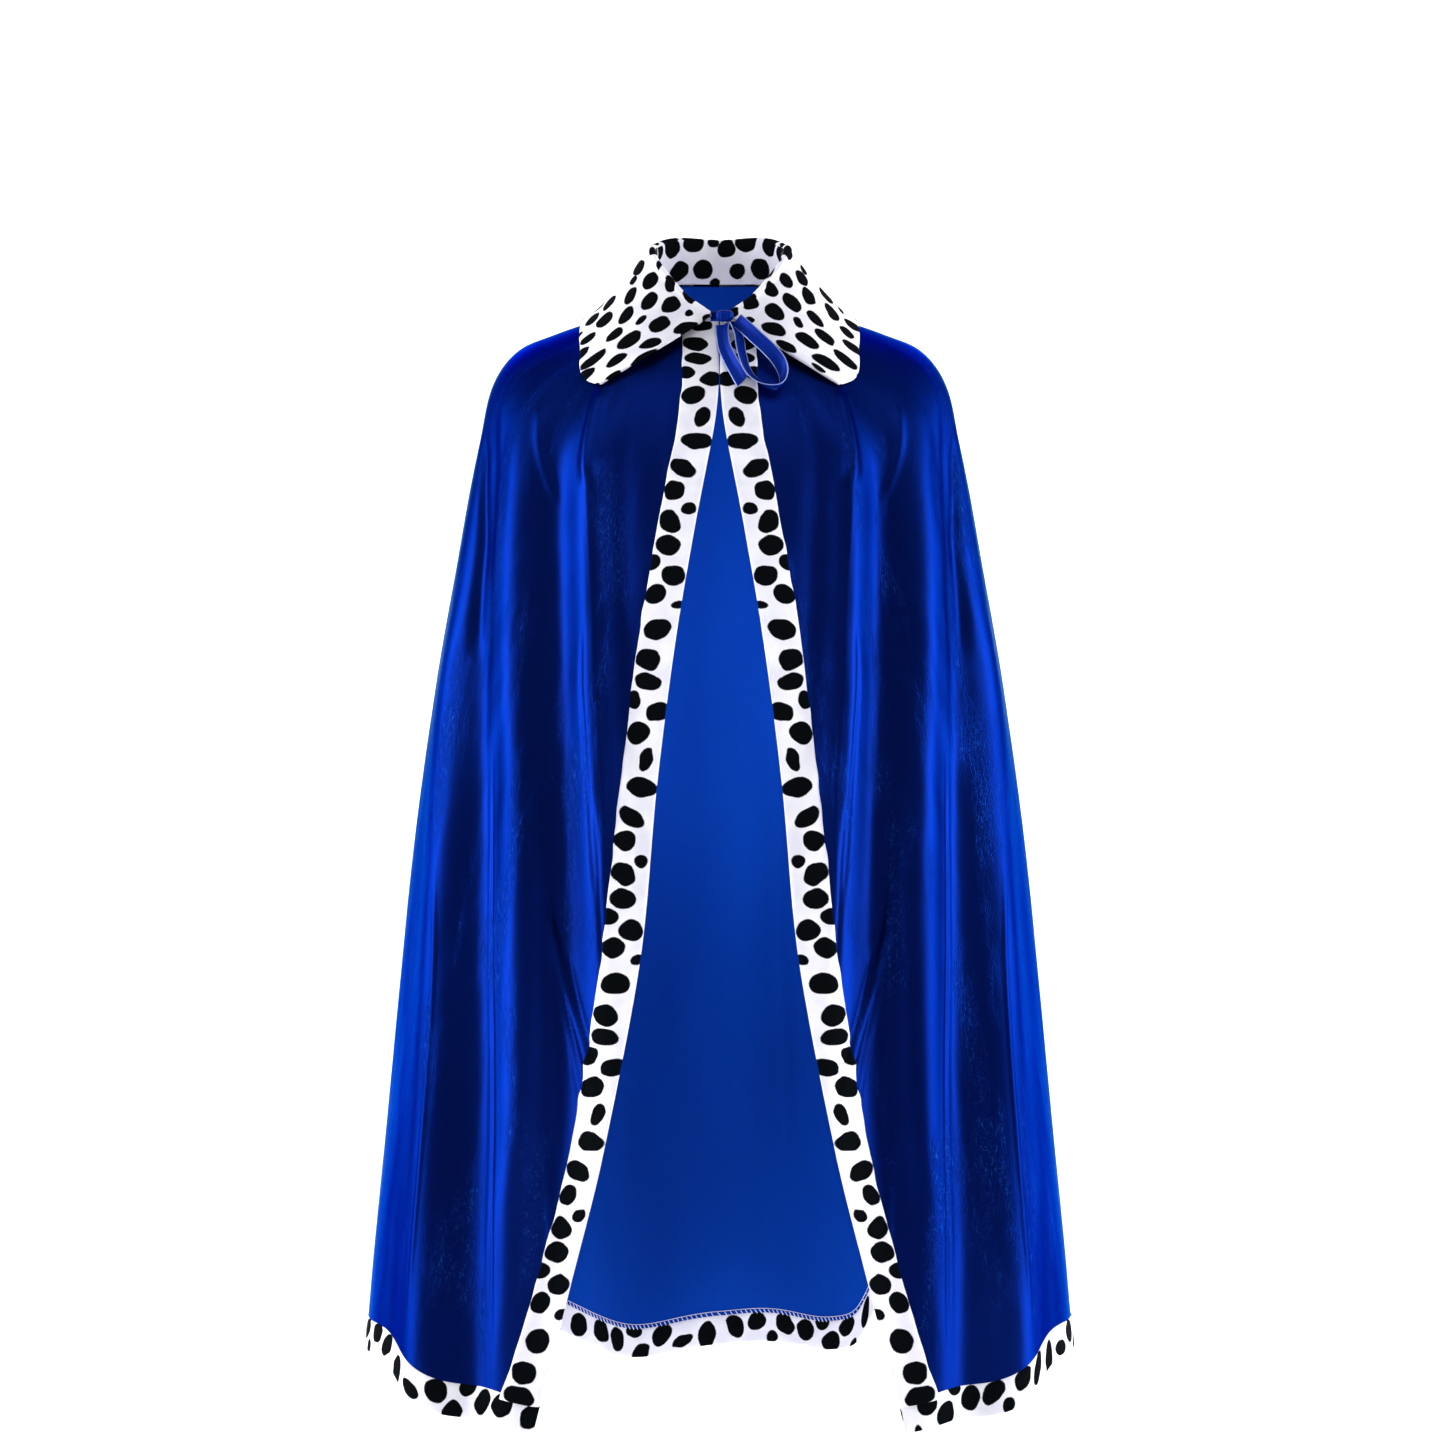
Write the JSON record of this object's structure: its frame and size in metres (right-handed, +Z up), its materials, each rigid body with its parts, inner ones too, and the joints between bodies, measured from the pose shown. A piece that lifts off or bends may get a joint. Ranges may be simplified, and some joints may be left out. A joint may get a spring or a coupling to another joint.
{
  "type": "king cape",
  "caption": "child's dress-up king cape: blue velvet, open down the front, edged with black-spotted white plush, with a wide pointed collar of the same plush and a satin ribbon tied at the neck",
  "frame": {"origin": "the middle of the neck opening at the seam under the collar, where the wearer's neck and shoulders carry the cape", "axes": "+Z up, -Y the wearer's front, +X the wearer's left"},
  "size_m": [0.49, 0.2838, 0.8125],
  "materials": {
    "velvet": "crushed-sheen velvet",
    "velvet_inside": "matte knit",
    "plush": "short plush with black spots",
    "satin": "satin",
    "thread": "matte thread"
  },
  "bodies": {
    "root": {"back": "velvet", "front_left": "velvet", "front_right": "velvet", "front_band_left": "plush", "front_band_right": "plush", "hem_band_back": "plush", "hem_band_left": "plush", "hem_band_right": "plush", "collar": "plush", "ribbon_knot": "satin", "ribbon_loop": "satin", "ribbon_end": "satin", "ribbon_stay_left": "satin", "ribbon_stay_right": "satin"}
  },
  "joints": []
}
